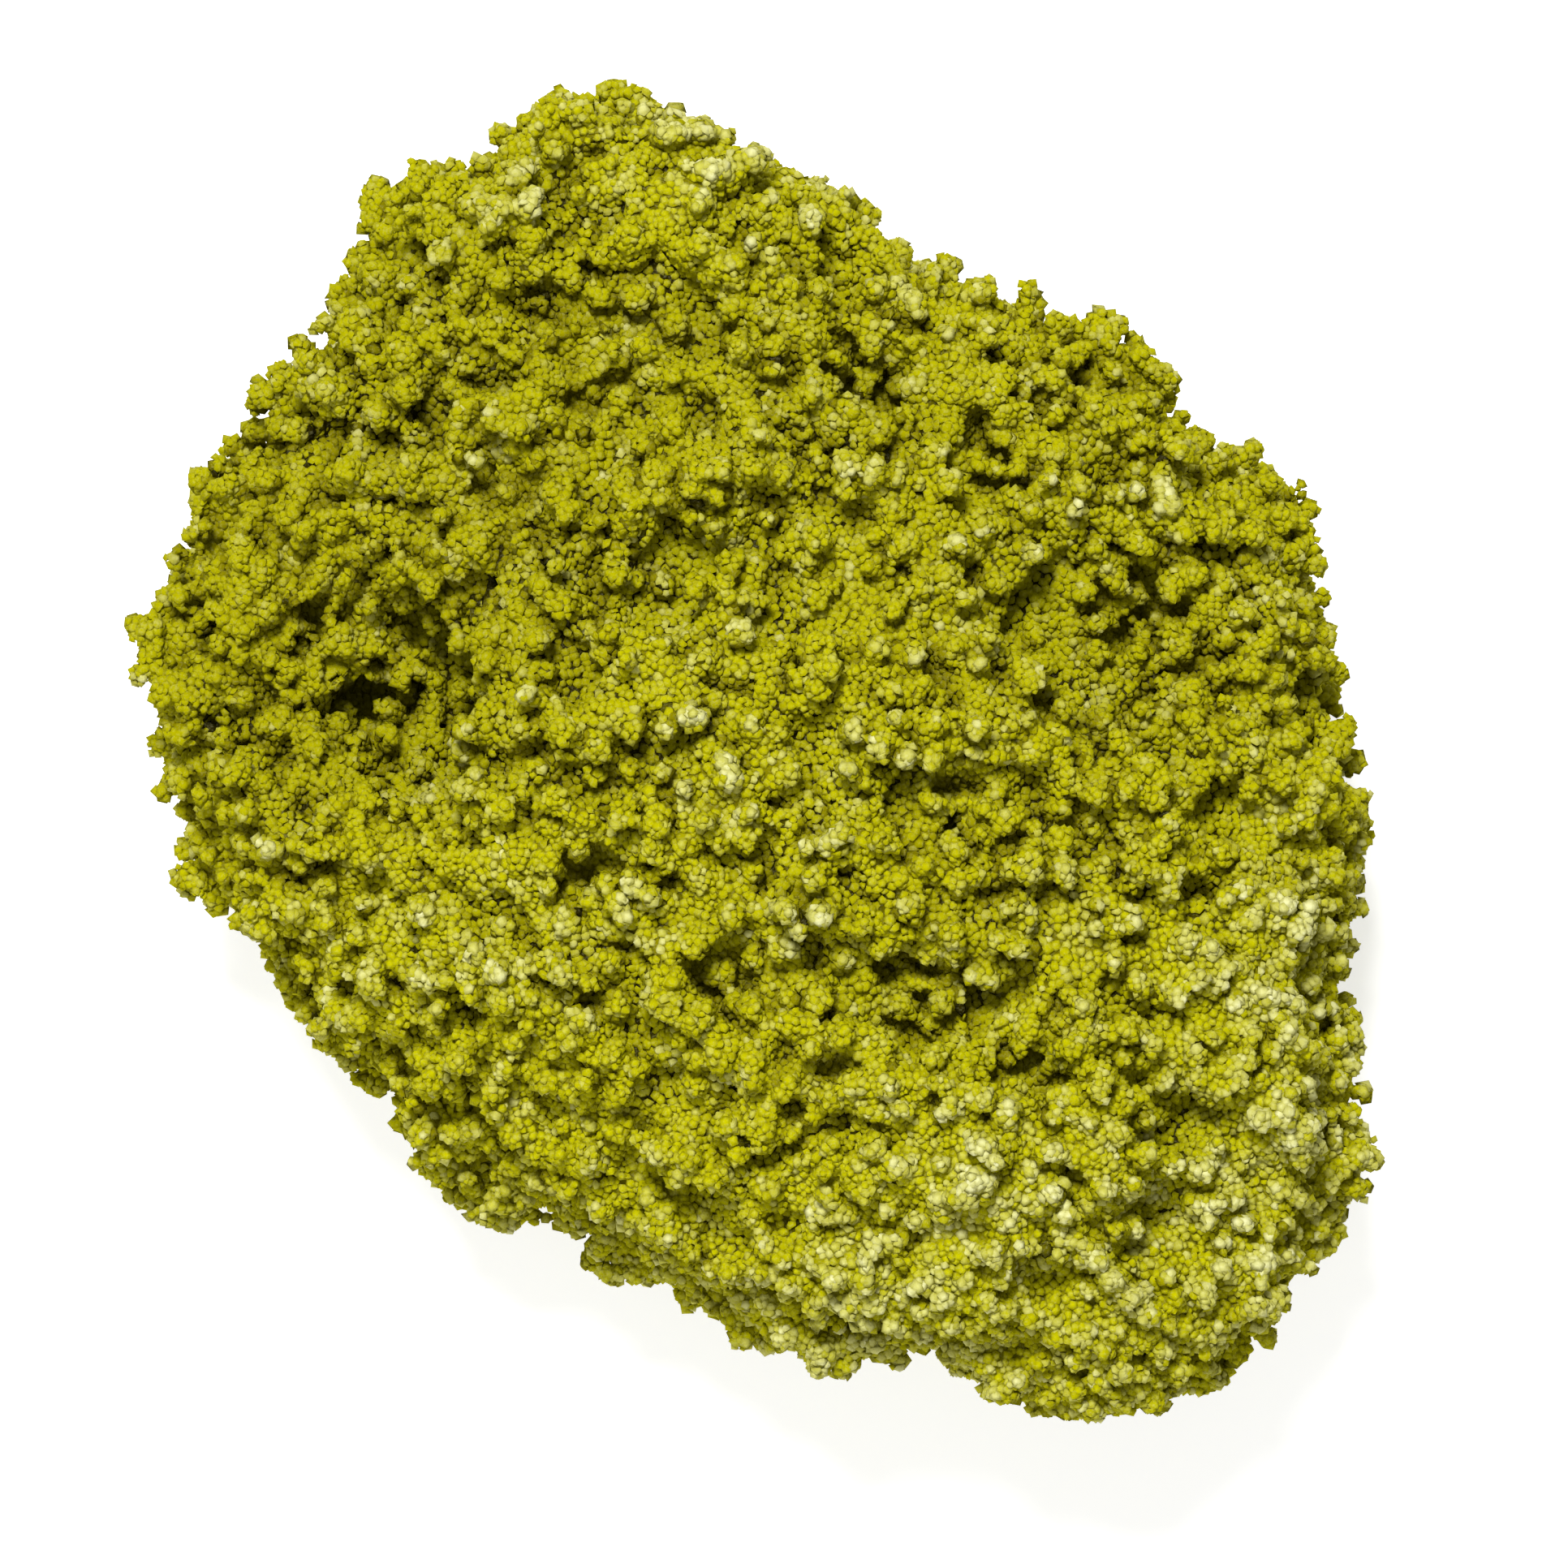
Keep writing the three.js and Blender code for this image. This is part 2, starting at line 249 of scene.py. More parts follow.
def makeCore():
    form = bmesh.new()
    form.from_mesh(massNode.data)
    bmesh.ops.remove_doubles(form, verts=form.verts, dist=core["weld"])
    mesh = bpy.data.meshes.new("core")
    form.to_mesh(mesh)
    form.free()
    piece = linkPiece("core", mesh)
    fuse(piece, core["voxel"], core["evenOut"])
    return piece


def copyOf(piece):
    double = piece.copy()
    double.data = piece.data.copy()
    bpy.context.scene.collection.objects.link(double)
    return double


corePiece = makeCore()
corePoints = pointsOf(corePiece.data)
coreNormals = normalsOf(corePiece.data)
coreTree = plainTreeOf(corePiece.data)
broadPiece = copyOf(corePiece)
fuse(broadPiece, core["broadVoxel"], core["broadEvenOut"])
broadTree = plainTreeOf(broadPiece.data)
bpy.data.objects.remove(broadPiece)
print("core:", len(corePoints), "points")


# how loosely the crust is grown: [x, y, radius, looseness], in mm on the plan

loosePlaces = [
    [-28, 12, 13, 1.0], [-25, 3, 9, 1.0], [-15, 20, 11, 1.0], [-30, 24, 9, 0.8],
    [-8, 28, 9, 0.85], [9, 24, 8, 0.9], [26, 10, 10, 0.85], [18, 20, 8, 0.75],
    [33, 16, 8, 0.6], [2, 10, 10, 0.7], [3, -17, 10, 0.8], [16, -18, 9, 0.75],
    [-12, -9, 8, 0.6], [-24, -18, 10, 0.4], [-10, -26, 12, 0.25], [10, -34, 14, 0.05],
    [28, -32, 12, 0.1], [36, -18, 9, 0.1], [-4, 39, 8, 0.3], [13, 30, 6, 0.4],
    [14, -28, 8, 0.0], [0, -4, 10, 0.55],
]
loose = {"elsewhere": 0.5, "elsewhereWeight": 0.12}


def loosenessAt(points):
    return blendPlaces(points, loosePlaces, loose["elsewhere"], loose["elsewhereWeight"])


# blocks of crust with fissures between them
# a pair is for the tight and for the loose crust, unless its note says otherwise

blocks = {
    "spots": 3 / mm ** 2,
    "lowest": 0.3 * mm,
    "spacing": (3.6 * mm, 4.6 * mm),
    "spread": (0.7, 1.5),               # of that spacing, from block to block
    "sink": -0.34 * mm,                 # the highest lie this far under the core's surface
    "drop": (0.05 * mm, 0.7 * mm),      # a block lies up to this much lower than the highest
    "dropBend": 1.5,                    # above 1, most blocks lie high
    "dome": (0.1 * mm, 0.3 * mm),       # from a block's middle to its side
    "domeReach": 1.3,                   # the dome's width in the block's own reach
    "domeLimit": 1.2,
    "gapDepth": (0.8 * mm, 2.8 * mm),
    "gapWidth": (0.35 * mm, 0.8 * mm),
    "gapEdge": (0.7, 1.7),              # from full depth to none, in widths
    "gapUsual": 0.9,
    "gapSpread": 1.3,                   # gaps open and close along their way by this share
    "gapLimits": (0.05, 2),
    "gapSpreadSize": 4.5 * mm,
    "bed": (1.3 * mm, 4.2 * mm),
    "warp": 0.9 * mm,
    "warpSize": 2.6 * mm,
    "seed": 11,
}

# small dark pits between the knobs, besides the solid's own: [x, y, radius, depth], in mm
pits = [
    [-12, 21.8, 1.15, 4], [-11.3, 17.5, 1.25, 4], [-24.6, 1.6, 1.35, 4], [-36, 13, 1.15, 3.5],
    [18.8, 22.6, 1.15, 4], [23, 23.9, 1.15, 4], [19.3, 8.8, 1.15, 4], [3.9, 32.7, 1.05, 4],
    [-14.2, 29, 1.05, 4], [21.4, -29.7, 0.95, 2.5], [29.4, -25, 1.15, 3], [-23.8, -17, 1.15, 3.5],
    [-20.6, -18.6, 1.05, 3.5], [-6, -22.6, 0.95, 3], [-11, -14, 1.05, 3.5], [1.5, -27.6, 0.95, 2.5],
    [27.2, -31.3, 1.05, 2.5], [-8.3, -1, 1.05, 3.5], [13.2, 5.8, 1.05, 3.5], [-15.8, 16.2, 1.15, 3.5],
    [-17.5, -26, 0.95, 2.5], [30.5, -8, 1.05, 3],
]
pitEdge = (1.25, 0.85)   # in radii

# where the core faces itself across a thin wall or a round hole
walls = {
    "reach": 12 * mm,
    "share": 0.4,            # of a wall, at most, is left out
    "holeReach": 7 * mm,
    "holeDepth": 0.6 * mm,
    "bulge": 0.22,           # of the way across a hole
    "bulgeSpread": 0.4,
    "bulgeSize": 2.2 * mm,
    "bulgeLimits": (0.03, 0.38),
    "clear": 0.02 * mm,
}


def makeBlocks():
    rng = np.random.default_rng(blocks["seed"])
    spots, _ = scatter(corePiece.data, blocks["spots"], rng)
    spots = spots[spots[:, 2] > blocks["lowest"]]
    looseness = loosenessAt(spots)
    spacing = mix(blocks["spacing"], looseness) * rng.uniform(*blocks["spread"], len(spots))
    kept = thin(spots, spacing, rng.permutation(len(spots)))
    drop = mix(blocks["drop"], looseness[kept]) * rng.random(len(kept)) ** blocks["dropBend"]
    print("blocks:", len(kept))
    return {"tree": placesTree(spots[kept]), "reach": spacing[kept] * 0.5, "drop": drop}


def pitShare(points):
    # 1 inside a pit, 0 away from it
    share = np.zeros(len(points))
    deep = np.zeros(len(points))
    for x, y, radius, depth in pits:
        away = distanceTo(points, x, y, radius)
        inside = smoothStep(*pitEdge, away) * (points[:, 2] > showFace)
        deep = np.where(inside > share, depth * mm, deep)
        share = np.maximum(share, inside)
    return share, deep


def crustDepth(points, normals, field):
    # how far the crust's top lies under the core's surface
    looseness = loosenessAt(points)
    bent = points + bendAt(points, blocks["warpSize"]) * blocks["warp"]
    near = [field["tree"].find_n(point, 4) for point in bent]
    which = np.array([[hit[1] for hit in hits] for hits in near])
    away = np.array([[hit[2] for hit in hits] for hits in near])
    weighed = away - field["reach"][which]
    order = np.argsort(weighed, axis=1)
    rows = np.arange(len(points))
    first = order[:, 0]
    border = (weighed[rows, order[:, 1]] - weighed[rows, first]) / 2
    own = which[rows, first]
    along = noiseAt(points, blocks["gapSpreadSize"])
    opened = np.clip(blocks["gapUsual"] + blocks["gapSpread"] * along, *blocks["gapLimits"])
    width = mix(blocks["gapWidth"], looseness) * opened
    gap = 1 - smoothStep(*blocks["gapEdge"], border / width)
    middle = away[rows, first] / (field["reach"][own] * blocks["domeReach"])
    middle = np.clip(middle, 0, blocks["domeLimit"])
    depth = field["drop"][own] + mix(blocks["dome"], looseness) * middle ** 2
    depth = depth + gap * mix(blocks["gapDepth"], looseness)
    bed = mix(blocks["bed"], looseness)
    pit, pitDepth = pitShare(bent)
    depth = np.where(pit > 0.5, np.maximum(bed, pitDepth), np.minimum(depth, bed))
    depth = blocks["sink"] + depth
    # never through to the far side of a thin wall, and bulging into the round holes
    for i, (start, aim) in enumerate(zip(points, normals)):
        _, _, _, through = coreTree.ray_cast(start - aim * walls["clear"], -aim, walls["reach"])
        if through is not None:
            depth[i] = min(depth[i], walls["share"] * through)
        _, _, _, across = coreTree.ray_cast(start + aim * walls["clear"], aim, walls["holeReach"])
        if across is not None:
            uneven = noise.noise(Vector(start) / walls["bulgeSize"])
            bulge = walls["bulge"] + walls["bulgeSpread"] * uneven
            least, most = walls["bulgeLimits"]
            depth[i] = min(depth[i], walls["holeDepth"]) - across * min(max(bulge, least), most)
    return depth


# the blocks are made of popcorn: bunches of balls, with a second layer under the first

popcorn = {
    "spots": 8 / mm ** 2,
    "lowest": 0.5 * mm,
    "spacing": (1.6 * mm, 1.95 * mm),
    "spread": (0.75, 1.3),
    "size": (0.55, 0.51),               # a bunch's radius in spacings
    "jitter": (0.1 * mm, 0.42 * mm),
    "missing": (0.01, 0.1),
    "balls": 11,
    "ballSize": (0.3, 0.52),            # in radii of the bunch
    "ballReach": (0.85, 1.15),          # 1 sets a ball just inside the bunch's rim
    "heart": 0.62,                      # the ball in the middle, in radii of the bunch
    "stem": (1.1, 0.6),                 # one under it: how far down and how large, in radii
    "underside": -0.25,                 # balls that would sit lower than this go to the top
    "second": (1.0 * mm, 1.6 * mm),     # how much lower the second layer lies
    "fill": (1.4 * mm, 2.3 * mm),       # the solid crust under both starts this much lower
    "fillEvenOut": 4,                   # its points lie on a grid, which would show
    "voxel": 0.28 * mm,
    "seed": 5,
}

# the solid's own round holes, [x, y, radius] in mm
solidHoles = [
    [-26.3, 4, 2.6], [-28.7, 7.2, 1.8], [-34.5, 15.2, 1.5], [-31.5, 13, 1.5], [-38, 8.5, 1.4],
    [-16.3, 18.6, 1.8], [-10.3, 24.4, 1.6], [-19.6, 10, 1.5], [8.6, 24.6, 2.2], [16.7, 19.6, 1.6],
    [26, 9, 2.4], [14, -4.3, 2], [-11, -8.5, 1.8], [-1.5, -15.3, 1.6], [10.8, -17.8, 1.8],
    [6, -20.2, 1.5], [18.6, -20.5, 1.8],
]

# bunches that half fill those holes, in mm
plugs = {
    "perRadius": 3,
    "raysFrom": 0.1,         # a height well above the specimen, in metres
    "rim": 1.3,              # the rim's height is taken this far outside the hole
    "away": (0.35, 1.05),    # from the hole's middle, in its radii
    "below": (2.0, 3.6),
    "slope": 0.9,
    "size": (0.65, 1.0),
}


def makeBed(field):
    fill = mix(popcorn["fill"], loosenessAt(corePoints))
    depth = crustDepth(corePoints, coreNormals, field) + fill
    bed = copyOf(corePiece)
    setPoints(bed.data, corePoints - coreNormals * depth[:, None])
    addEvenOut(bed, popcorn["fillEvenOut"])
    bakeModifiers(bed)
    return bed


def makePopcorn(field, layer):
    rng = np.random.default_rng(popcorn["seed"] + layer)
    spots, normals = scatter(corePiece.data, popcorn["spots"], rng)
    onCrust = spots[:, 2] > popcorn["lowest"]
    spots, normals = spots[onCrust], normals[onCrust]
    looseness = loosenessAt(spots)
    spacing = mix(popcorn["spacing"], looseness) * rng.uniform(*popcorn["spread"], len(spots))
    kept = thin(spots, spacing, rng.permutation(len(spots)))
    if layer == 0:
        kept = kept[rng.random(len(kept)) > mix(popcorn["missing"], looseness[kept])]
    spots, normals = spots[kept], normals[kept]
    looseness, spacing = looseness[kept], spacing[kept]
    depth = crustDepth(spots, normals, field) + layer * mix(popcorn["second"], looseness)
    depth = depth + rng.normal(size=len(spots)) * mix(popcorn["jitter"], looseness)
    depth = np.maximum(depth, blocks["sink"])
    radius = spacing * mix(popcorn["size"], looseness)
    roots = spots - normals * (depth + radius)[:, None]
    print("popcorn:", len(roots), "bunches")
    return bunches(f"popcorn_{layer}", roots, normals, radius, rng, 2 - layer)


def bunches(name, roots, normals, radius, rng, roundness):
    # balls round each root, and one under it as a stem
    stemDepth, stemSize = popcorn["stem"]
    middles = [roots, roots - normals * radius[:, None] * stemDepth]
    sizes = [radius * popcorn["heart"], radius * stemSize]
    for k in range(popcorn["balls"]):
        way = unit(rng.normal(size=(len(roots), 3)))
        up = (way * normals).sum(1, keepdims=True)
        way = np.where(up < popcorn["underside"], way - 2 * up * normals, way)
        ball = radius * rng.uniform(*popcorn["ballSize"], len(roots))
        reach = rng.uniform(*popcorn["ballReach"], (len(roots), 1))
        middles.append(roots + way * (radius - ball)[:, None] * reach)
        sizes.append(ball)
    middles, sizes = np.concatenate(middles), np.concatenate(sizes)
    ball = unitTemplate(
        lambda form: bmesh.ops.create_icosphere(form, subdivisions=roundness, radius=1))
    return joinCopies(name, ball, np.eye(3)[None] * sizes[:, None, None], middles)


def rimHeight(x, y, outside):
    # the second lowest of six heights round a hole
    around = [((x + outside * math.cos(k)) * mm, (y + outside * math.sin(k)) * mm)
              for k in range(6)]
    hits = [coreTree.ray_cast(Vector((*spot, plugs["raysFrom"])), Vector((0, 0, -1)))[0]
            for spot in around]
    return sorted(hit.z for hit in hits if hit)[1]


def plugHoles():
    rng = np.random.default_rng(popcorn["seed"] + 7)
    roots, radius = [], []
    for x, y, hole in solidHoles:
        top = rimHeight(x, y, hole + plugs["rim"])
        for _ in range(round(plugs["perRadius"] * hole)):
            turn = rng.uniform(0, 2 * math.pi)
            away = hole * mm * rng.uniform(*plugs["away"])
            below = rng.uniform(*plugs["below"]) * mm + (hole * mm - away) * plugs["slope"]
            across, along = away * math.cos(turn), away * math.sin(turn)
            roots.append((x * mm + across, y * mm + along, top - below))
            radius.append(rng.uniform(*plugs["size"]) * mm)
    roots, radius = np.array(roots), np.array(radius)
    return bunches("plugs", roots, np.tile([0.0, 0, 1], (len(roots), 1)), radius, rng, 1)


def joinPieces(name, pieces):
    form = bmesh.new()
    for piece in pieces:
        form.from_mesh(piece.data)
        bpy.data.objects.remove(piece)
    mesh = bpy.data.meshes.new(name)
    form.to_mesh(mesh)
    form.free()
    return linkPiece(name, mesh)


def dropPockets(piece):
    # leaves out the skins of closed pockets inside
    mesh = piece.data
    edges = np.zeros(len(mesh.edges) * 2, np.int32)
    mesh.edges.foreach_get("vertices", edges)
    one, two = edges.reshape(-1, 2).T
    shell = np.arange(len(mesh.vertices))
    while True:
        least = np.minimum(shell[one], shell[two])
        before = shell.copy()
        np.minimum.at(shell, one, least)
        np.minimum.at(shell, two, least)
        shell = shell[shell]
        if (shell == before).all():
            break
    main = np.bincount(shell).argmax()
    form = bmesh.new()
    form.from_mesh(mesh)
    others = [v for v, own in zip(form.verts, shell) if own != main]
    bmesh.ops.delete(form, geom=others, context="VERTS")
    form.to_mesh(mesh)
    form.free()


# the whole crust then swells into lumps with creases between them, and into knobs on those

lumps = [
    {"size": 1.8 * mm, "height": (0.95 * mm, 1.8 * mm), "sharpness": 9, "level": 0.16, "warp": 0.6 * mm},
    {"size": 0.85 * mm, "height": (0.4 * mm, 0.5 * mm), "sharpness": 9, "level": 0.12, "warp": 0.3 * mm},
]
swelling = {
    "warpSize": 1.5 * mm,
    "inwards": -0.12,        # hardly, or thin crust turns inside out
    "base": 0.25 * mm,       # what lies lower than this is set on the floor
    "triangles": 185000,
}


def restOnFloor(points):
    points[points[:, 2] < swelling["base"], 2] = 0


def swell(piece):
    points, normals = pointsOf(piece.data), normalsOf(piece.data)
    looseness = loosenessAt(points)
    moved = points.copy()
    bend = bendAt(points, swelling["warpSize"])
    for lump in lumps:
        bent = points + bend * lump["warp"]
        away = np.array([noise.voronoi(Vector(p) / lump["size"])[0] for p in bent])
        total = np.exp(-lump["sharpness"] * away ** 2).sum(1)
        height = np.log(total) / lump["sharpness"] + lump["level"]
        height = np.maximum(height, swelling["inwards"])
        moved += normals * (height * mix(lump["height"], looseness))[:, None]
    restOnFloor(moved)
    setPoints(piece.data, moved)


def thinOut(piece, most):
    thinner = piece.modifiers.new("thinner", "DECIMATE")
    thinner.ratio = min(1, most / sum(len(p.vertices) - 2 for p in piece.data.polygons))
    piece.modifiers.new("triangles", "TRIANGULATE")
    bakeModifiers(piece)


field = makeBlocks()
layers = [makeBed(field), makePopcorn(field, 0), makePopcorn(field, 1), plugHoles()]
crust = joinPieces("crust", layers)
fuse(crust, popcorn["voxel"])
dropPockets(crust)
swell(crust)
print("crust:", len(crust.data.vertices), "points")
thinOut(crust, swelling["triangles"])
print("crust:", len(crust.data.polygons), "triangles")
crustTree = treeOf(crust.data)


# rubbed, dusty places: [x, y, radius, strength], in mm

rubbedPlaces = [
    [17, -28, 6, 1.0], [11, -27, 5, 0.7], [-2.5, 39, 5.5, 1.0], [3, 36, 4, 0.6], [12, 29, 4.5, 0.9],
    [8, 20, 3.5, 0.8], [10.3, 17, 3.5, 0.9], [20.3, 15, 4, 0.9], [15, 13.8, 3, 0.8], [-3, 2.7, 4, 0.9],
    [-2.5, -0.5, 3.5, 0.8], [9.2, 1.6, 5, 1.0], [2.8, -6.4, 3, 0.7], [6, -11, 4.5, 0.9],
    [16.6, -13.8, 4, 0.8], [-18, -0.5, 3.5, 0.8], [-22.7, -13.3, 3.5, 0.7], [-16.3, -13.3, 3.5, 0.7],
    [-19.5, 21, 3.5, 0.6], [-19.5, 17, 3, 0.5], [-15.5, 34.8, 4, 0.7], [-19.3, 34.3, 3, 0.7],
    [-26.8, 26, 4, 0.6], [33.5, -14, 5.5, 1.0], [32.5, -33.5, 5, 0.9], [25.3, -10.7, 4, 0.7],
    [26.5, 16, 3.5, 0.7], [-31.5, -7.5, 4, 0.7], [-7.3, -10, 3, 0.5], [-15.3, 3.2, 4, 0.7],
    [8, -37, 8, 0.5], [24, -38, 7, 0.4], [36, -24, 5, 0.6], [-1, 20, 4, 0.5], [-12, -31, 7, 0.4],
]
rub = {
    "strength": 1.1,
    "depth": 1.6 * mm,       # only what stands proud of this depth is rubbed
    "level": (0.5, 0.6),     # more where the crust faces up, less where it leans
}


def depthUnder(points):
    depths = np.zeros(len(points))
    for i, point in enumerate(points):
        spot, normal, _, _ = coreTree.find_nearest(point)
        depths[i] = (spot - Vector(point)).dot(normal)
    return depths


def rubbing(points, normals, depth):
    patch = strongestPlace(points, rubbedPlaces)
    proud = np.clip(1 - depth / rub["depth"], 0, 1)
    facing = np.clip(normals[:, 2] * rub["level"][0] + rub["level"][1], 0, 1)
    return np.clip(patch * rub["strength"] * proud * facing, 0, 1)


# how dusty each place is, with painted light on open tops and painted shade in cracks, and how deep in
# painted shade, from 0 to 1

dusting = {
    "everywhere": 0.34,
    "wide": (8 * mm, 0.12),      # patches of dust, their size and strength
    "close": (1.9 * mm, 0.22),
    "fine": (0.6 * mm, 0.32),
    "tone": 0.2,                 # from grain to grain
    "rubbed": 0.46,
    "lessInLoose": 0.15,
    "inCracks": 0.35,            # the share of it that stays there, so the cracks take painted shade
    "edges": (0.28, 0.94),
}
shading = {
    "open": (0.57, 0.96),        # from the painted shade to the open, in shares of free space
    "deep": (0.62, 0.24),        # from the open to the painted black of the cracks
    "level": 1.2 * mm,
    "ridge": 2.5 * mm,
    # painted shade in broad hollows and in the loose crust, by these shares
    "hollows": 0.1,
    "moreInLoose": 0.8,
    "loosePivot": 0.4,
}
openRays = {"count": 10, "reach": 9 * mm, "start": 0.3 * mm, "falloff": 2 * mm}


def openness(points, normals):
    # the share of rays that get clear of the crust, and how far they get: 0 in a crack, 1 in the open
    rays = openRays["count"]
    turn = np.arange(rays) * goldenAngle
    tilt = np.sqrt((np.arange(rays) + 0.5) / rays)
    frames = framesAlong(normals, np.ones((len(points), 3)), np.zeros(len(points)))
    clear = np.zeros(len(points))
    free = np.zeros(len(points))
    for k in range(rays):
        rise = math.sqrt(1 - tilt[k] ** 2)
        way = np.array([tilt[k] * math.cos(turn[k]), tilt[k] * math.sin(turn[k]), rise])
        starts = points + normals * openRays["start"]
        for i, (start, aim) in enumerate(zip(starts, frames @ way)):
            distance = crustTree.ray_cast(start, aim, openRays["reach"])[3]
            if distance is None:
                clear[i] += 1
                free[i] += 1
            else:
                free[i] += 1 - math.exp(-distance / openRays["falloff"])
    return clear / rays, free / rays


def ridgeShare(points):
    # 1 on a broad ridge, -1 in a broad hollow
    rise = np.zeros(len(points))
    for i, point in enumerate(points):
        spot, normal, _, _ = broadTree.find_nearest(point)
        rise[i] = (Vector(point) - spot).dot(normal)
    return np.clip((rise - shading["level"]) / shading["ridge"], -1, 1)


def lookOf(points, patch, free, tone):
    wide = noiseAt(points, dusting["wide"][0])
    close = noiseAt(points, dusting["close"][0], (9, 5, 2))
    fine = noiseAt(points, dusting["fine"][0], (3, 8, 1))
    ridge = ridgeShare(points)
    looser = loosenessAt(points) - shading["loosePivot"]
    openTo = smoothStep(*shading["open"], free)
    dustAndLight = dusting["everywhere"] + dusting["close"][1] * close + dusting["fine"][1] * fine
    dustAndLight = dustAndLight + dusting["wide"][1] * wide + dusting["tone"] * (tone - 0.5) + dusting["rubbed"] * patch
    # it thins out in the cracks, a painted shade there
    left = dusting["inCracks"] + (1 - dusting["inCracks"]) * openTo
    dustAndLight = smoothStep(*dusting["edges"], (dustAndLight - dusting["lessInLoose"] * looser) * left)
    # painted shade where little of the sky is free, in broad hollows and in the loose crust
    shade = 1 - openTo + shading["hollows"] * np.clip(-ridge, 0, 1) + shading["moreInLoose"] * looser
    # and painted black in the deepest cracks
    return {"dustAndLight": dustAndLight, "shade": np.clip(shade, 0, 1), "deep": smoothStep(*shading["deep"], free)}


def writeLooks(mesh, looks):
    for name, values in looks.items():
        attribute = mesh.attributes.new(name, "FLOAT", "POINT")
        attribute.data.foreach_set("value", values.astype(np.float32))


# small round grains all over the crust

grains = {
    "spots": 44 / mm ** 2,
    "lowest": 0.5 * mm,
    "spacing": (0.32 * mm, 0.48 * mm),
    "radius": 0.95,                  # of its spacing, times the next
    "radiusSpread": (0.9, 1.1),
    "standOut": (-0.22, -0.34),      # of a grain's middle over the crust, in radii: fresh, rubbed
    "scatter": 0.14,                 # of that, in radii, from grain to grain
    "ring": 0.1,                     # the height of a grain's widest part
    "bottom": -0.6,
    "rimTilt": 68,
    "uneven": 0.09,                  # how far a grain's own corners stray, in radii
    "squash": (0.88, 1.12),
    "wider": 0.3,                    # where rubbed
    "flatten": (0.95, 0.6),          # fresh, rubbed
    "lean": 0.22,
    "deepest": 8 * mm,               # none grow further under the solid's surface than this
    "widerBelow": 0.5,               # sparser where the crust faces down
    "hidden": 0.08,                  # left out where less of the sky than this is clear
    "floorGap": 0.9,                 # no nearer to the floor than this, in radii
    "aboveStart": 0.2 * mm,          # unless the way straight up is clear, from this far out
    "bury": 0.15 * mm,               # the crust is drawn in by this much under them
    "parts": 5,
    "seed": 23,
}


def grainForm(form):
    # five-sided, and shallower below, for that side is mostly buried
    top, bottom = form.verts.new((0, 0, 1)), form.verts.new((0, 0, grains["bottom"]))
    turns = [k * 0.4 * math.pi for k in range(5)]
    ring = [form.verts.new((math.cos(turn), math.sin(turn), grains["ring"])) for turn in turns]
    for k in range(5):
        form.faces.new((top, ring[k], ring[(k + 1) % 5]))
        form.faces.new((bottom, ring[(k + 1) % 5], ring[k]))


def roundOff(mesh, template, frames):
    # shades each grain as a dome that is this steep at its rim
    lean = math.radians(grains["rimTilt"])
    points = template[0]
    facing = points * [math.sin(lean), math.sin(lean), 0] + [0, 0, math.cos(lean)]
    facing = np.where(np.abs(points[:, 2:3]) > 0.5, [0, 0, 1] * np.sign(points[:, 2:3]), facing)
    turned = frames / np.linalg.norm(frames, axis=1, keepdims=True)
    ways = np.einsum("nij,pj->npi", turned, facing).reshape(-1, 3)
    mesh.normals_split_custom_set_from_vertices(unit(ways).astype(np.float32))


def clearAbove(points, normals):
    up = Vector((0, 0, 1))
    starts = points + normals * grains["aboveStart"]
    return np.array([crustTree.ray_cast(start, up)[3] is None for start in starts])


